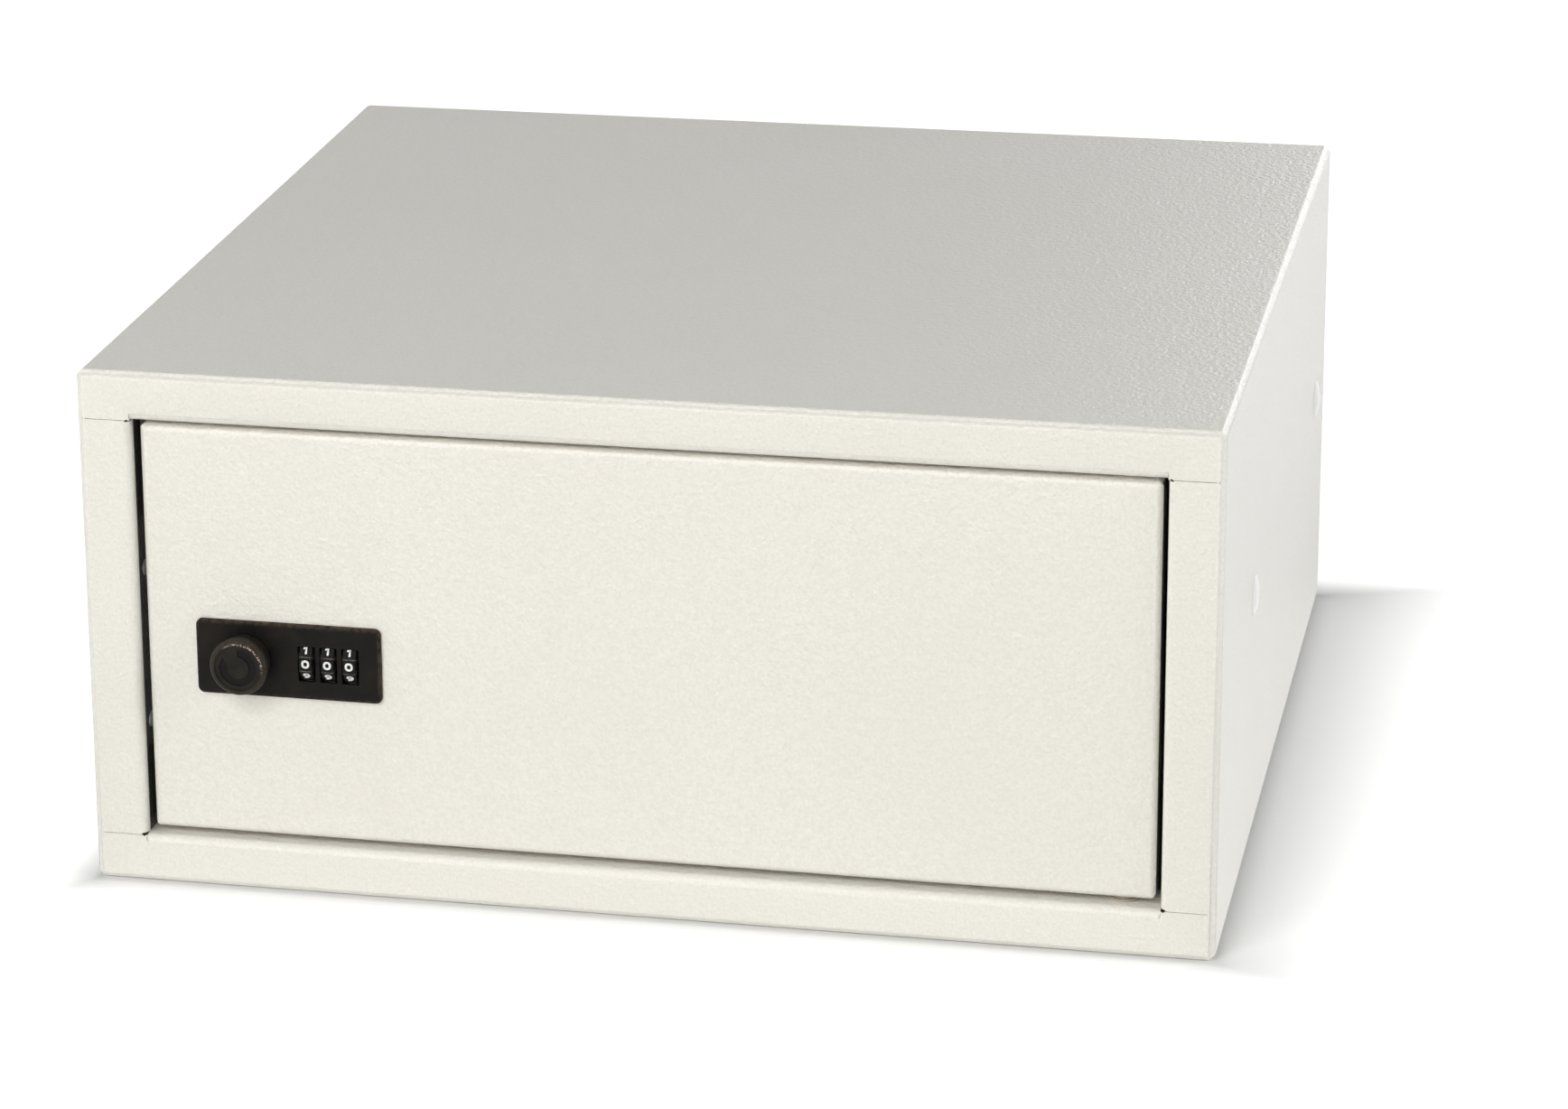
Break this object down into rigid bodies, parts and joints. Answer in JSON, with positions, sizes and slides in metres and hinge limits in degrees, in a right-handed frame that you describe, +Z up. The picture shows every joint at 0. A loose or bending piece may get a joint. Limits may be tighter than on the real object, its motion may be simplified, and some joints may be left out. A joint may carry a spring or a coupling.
{
  "type": "hotel safe",
  "caption": "Low folded-steel room safe with a flush door on hidden pivots, a cam lock with numbered dials and a turn knob, and a back panel with wall fixing holes.",
  "frame": {"origin": "on the floor at the centre of the cabinet's footprint", "axes": "+X to the right seen from the front, +Y from the door to the back panel, +Z up"},
  "size_m": [0.4232, 0.4085, 0.2],
  "materials": {
    "cream_powder_coat": "fine orange-peel powder coat, semi-matt",
    "cream_plastic": "smooth moulded",
    "black_lock_paint": "satin, worn brown at its edges",
    "black_knob_paint": "textured, speckled with wear on the rim",
    "black_dial_plastic": "satin with white numbers",
    "zinc_plated_steel": "bright zinc plate",
    "cast_zinc": "as cast and turned",
    "spring_steel": "oiled",
    "aluminium_rivet": "plain",
    "brass": "stamped or turned",
    "white_nylon": "natural",
    "black_rubber": "matt"
  },
  "bodies": {
    "cabinet": {"body_shell": "cream_powder_coat", "back_panel": "cream_powder_coat", "side_plugs": "cream_plastic", "lower_pivot_pin": "zinc_plated_steel", "upper_pivot_pin": "zinc_plated_steel", "pin_clip": "spring_steel", "pivot_washer": "white_nylon", "strike_angle": "zinc_plated_steel", "strike_rivets": "aluminium_rivet", "door_buffers": "black_rubber"},
    "door": {"door_panel": "cream_powder_coat", "door_stiffener": "cream_powder_coat", "lower_bush": "white_nylon", "upper_bush": "white_nylon", "lock_housing": "black_lock_paint", "lock_rear_cover": "zinc_plated_steel", "cover_screws": "zinc_plated_steel", "clamp_plate": "zinc_plated_steel", "clamp_screws": "zinc_plated_steel", "dial_axle": "zinc_plated_steel", "detent_spring": "brass"},
    "knob": {"knob": "black_knob_paint", "spindle": "cast_zinc", "cam": "zinc_plated_steel", "cam_washer": "spring_steel", "cam_screw": "zinc_plated_steel"},
    "locking_slide": {"locking_slide": "brass"},
    "dial_1": {"dial_1": "black_dial_plastic", "code_sleeve_1": "brass"},
    "dial_2": {"dial_2": "black_dial_plastic", "code_sleeve_2": "brass"},
    "dial_3": {"dial_3": "black_dial_plastic", "code_sleeve_3": "brass"},
    "code_change_screw": {"code_change_screw": "brass"}
  },
  "joints": [
    {"name": "door_swing", "type": "hinge", "parent": "cabinet", "child": "door", "pos_m": [0.1758, -0.188, 0.1], "axis": [0, 0, 1], "range_deg": [0, 110]},
    {"name": "knob_turn", "type": "hinge", "parent": "door", "child": "knob", "pos_m": [-0.14945, -0.19, 0.091], "axis": [0, 1, 0], "range_deg": [0, 90]},
    {"name": "slide_travel", "type": "slide", "parent": "door", "child": "locking_slide", "axis": [1, 0, 0], "range_m": [0, 0.002]},
    {"name": "dial_1_turn", "type": "hinge", "parent": "door", "child": "dial_1", "pos_m": [-0.12605, -0.1912, 0.091], "axis": [1, 0, 0], "continuous": true},
    {"name": "dial_2_turn", "type": "hinge", "parent": "door", "child": "dial_2", "pos_m": [-0.11775, -0.1912, 0.091], "axis": [1, 0, 0], "continuous": true},
    {"name": "dial_3_turn", "type": "hinge", "parent": "door", "child": "dial_3", "pos_m": [-0.10945, -0.1912, 0.091], "axis": [1, 0, 0], "continuous": true},
    {"name": "code_change", "type": "hinge", "parent": "door", "child": "code_change_screw", "pos_m": [-0.11775, -0.18, 0.0973], "axis": [0, 1, 0], "range_deg": [0, 90]}
  ],
  "couplings": [
    {"joint": "slide_travel", "follows": "knob_turn", "m_per_rad": 0.0012732}
  ]
}
